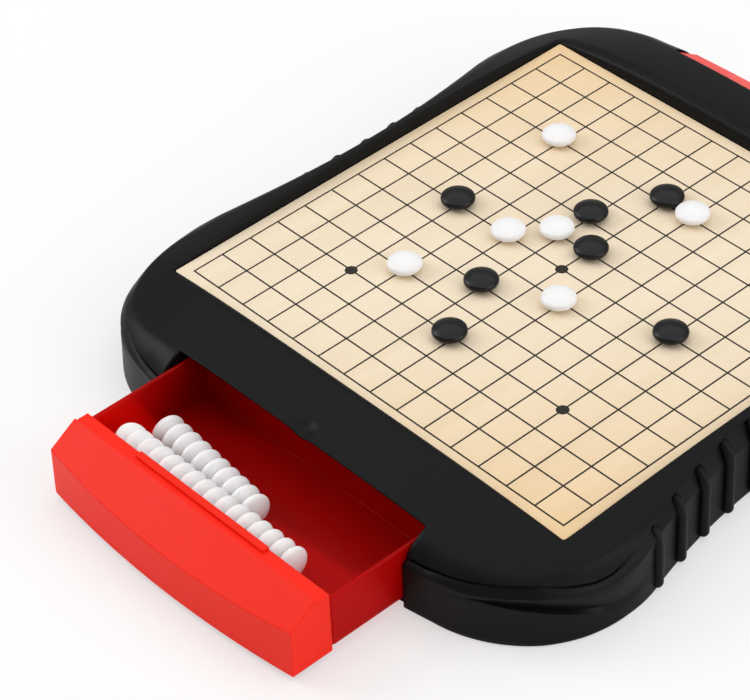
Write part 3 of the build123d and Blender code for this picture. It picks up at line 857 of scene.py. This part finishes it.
# the first stones of a near row lean back and lie lower, less and less along the row
first_lean = 0.8
lean_fade = 2.0
lean_shift = np.array([1.6, 1.9, -1.0]) * mm
turn_spread = 0.02
stray = np.random.default_rng(15)
for drawer, colour, material, end, slide in (("front", "white", white_plastic, -1, front_slide),
                                             ("back", "black", dark_plastic, 1, back_slide)):
    # a row's first stone in mm from the case's middle with the drawer closed, its turn in degrees,
    # its height in mm and its number of stones
    for row, start, turn, height, count in (
            ("far", (-51.8, 101.4), -5.8, 12.8, 10),
            ("near", (-53.2, 119.25), 0.0, 19.3, 16 if end < 0 else 15)):
        heading = math.radians(turn)
        k = np.arange(count)
        step = stone_pitch * np.array([math.cos(heading), math.sin(heading), 0.0])
        first = np.array([start[0] * mm, -(start[1] * mm + slide), height * mm])
        lean = first_lean * np.exp(-k / lean_fade) if row == "near" else np.zeros(count)
        centres = first + k[:, None] * step + lean[:, None] * lean_shift
        wobble = stray.normal(0, turn_spread, (count, 2))
        turns = [on_edge(heading + a, b + c) for (a, b), c in zip(wobble, lean)]
        if end > 0:
            half_turn = np.array([-1.0, -1.0, 1.0])
            turns = [np.diag(half_turn) @ turned for turned in turns]
            centres = centres * half_turn
        stone_piece(f"{colour}_stones_{row}_row", centres, turns, material, drawer + "_drawer",
                    f"{colour}_{row}_row")

# ---- Floor, lamps and camera -------------------------------------------------------------
# A plain white table under soft lamps, in front of a pale sky.  The camera looks from the front
# right, about 41 degrees above the table, and is rolled a little, as in the photograph.

floor_mesh = bpy.data.meshes.new("table_top")
floor_mesh.from_pydata([(-4, -4, 0), (4, -4, 0), (4, 4, 0), (-4, 4, 0)], [], [(0, 1, 2, 3)])
floor = bpy.data.objects.new("table_top", floor_mesh)
bpy.context.scene.collection.objects.link(floor)
white_card = bpy.data.materials.new("white_card")
white_card.use_nodes = True
tree = white_card.node_tree
surface = tree.nodes["Principled BSDF"]
surface.inputs["Base Color"].default_value = (0.93, 0.93, 0.93, 1)
surface.inputs["Roughness"].default_value = 0.9
surface.inputs["Specular IOR Level"].default_value = 0.0
glow = tree.nodes.new("ShaderNodeEmission")
blend = tree.nodes.new("ShaderNodeMixShader")
rays = tree.nodes.new("ShaderNodeLightPath")
seen = Shade(tree, rays.outputs["Is Camera Ray"]) * 0.5
tree.links.new(seen.socket, blend.inputs[0])
tree.links.new(surface.outputs[0], blend.inputs[1])
tree.links.new(glow.outputs[0], blend.inputs[2])
tree.links.new(blend.outputs[0], tree.nodes["Material Output"].inputs["Surface"])
floor_mesh.materials.append(white_card)


def soft_lamp(name, place, width, watts):
    """A square soft lamp that faces the board's middle."""
    lamp = bpy.data.lights.new(name, "AREA")
    lamp.shape = "SQUARE"
    lamp.size = width
    lamp.energy = watts
    holder = bpy.data.objects.new(name, lamp)
    holder.location = place
    bpy.context.scene.collection.objects.link(holder)
    direction = holder.location.copy()
    direction.negate()
    holder.rotation_euler = direction.to_track_quat("-Z", "Y").to_euler()


soft_lamp("overhead_lamp", (-0.2, 0.3, 2.0), 3.2, 29.0)
soft_lamp("side_lamp", (-1.3, -0.75, 0.95), 0.9, 11.0)
soft_lamp("right_lamp", (1.25, 0.35, 0.65), 1.2, 8.5)

world = bpy.data.worlds.new("studio")
bpy.context.scene.world = world
world.use_nodes = True
tree = world.node_tree
sky = tree.nodes["Background"]
rays = tree.nodes.new("ShaderNodeLightPath")
straight = Shade(tree, rays.outputs["Is Camera Ray"])
through = Shade(tree, rays.outputs["Is Transmission Ray"])
sky_light = 0.35
white = straight.math("MAXIMUM", through) * (1 - sky_light) + sky_light
sky.inputs["Color"].default_value = (1, 1, 1, 1)
tree.links.new(white.socket, sky.inputs["Strength"])

camera_lens = bpy.data.cameras.new("camera")
camera_lens.lens = 152.60
camera_lens.sensor_width = 36.0
camera_lens.clip_start = 0.05
camera_lens.clip_end = 20.0
camera = bpy.data.objects.new("camera", camera_lens)
bpy.context.scene.collection.objects.link(camera)
stand = Vector((0.65192, -0.65771, 0.78847))
target = Vector((-0.01573, -0.08099, 0.0308))
forward = (target - stand).normalized()
level = forward.cross(Vector((0, 0, 1))).normalized()
camera_roll = math.radians(2.9125)
roll = Matrix.Rotation(camera_roll, 3, forward)
right = roll @ level
up = right.cross(forward)
turned = Matrix((right, up, -forward)).transposed().to_4x4()
turned.translation = stand
camera.matrix_world = turned
bpy.context.scene.camera = camera
bpy.context.scene.view_settings.view_transform = "Standard"
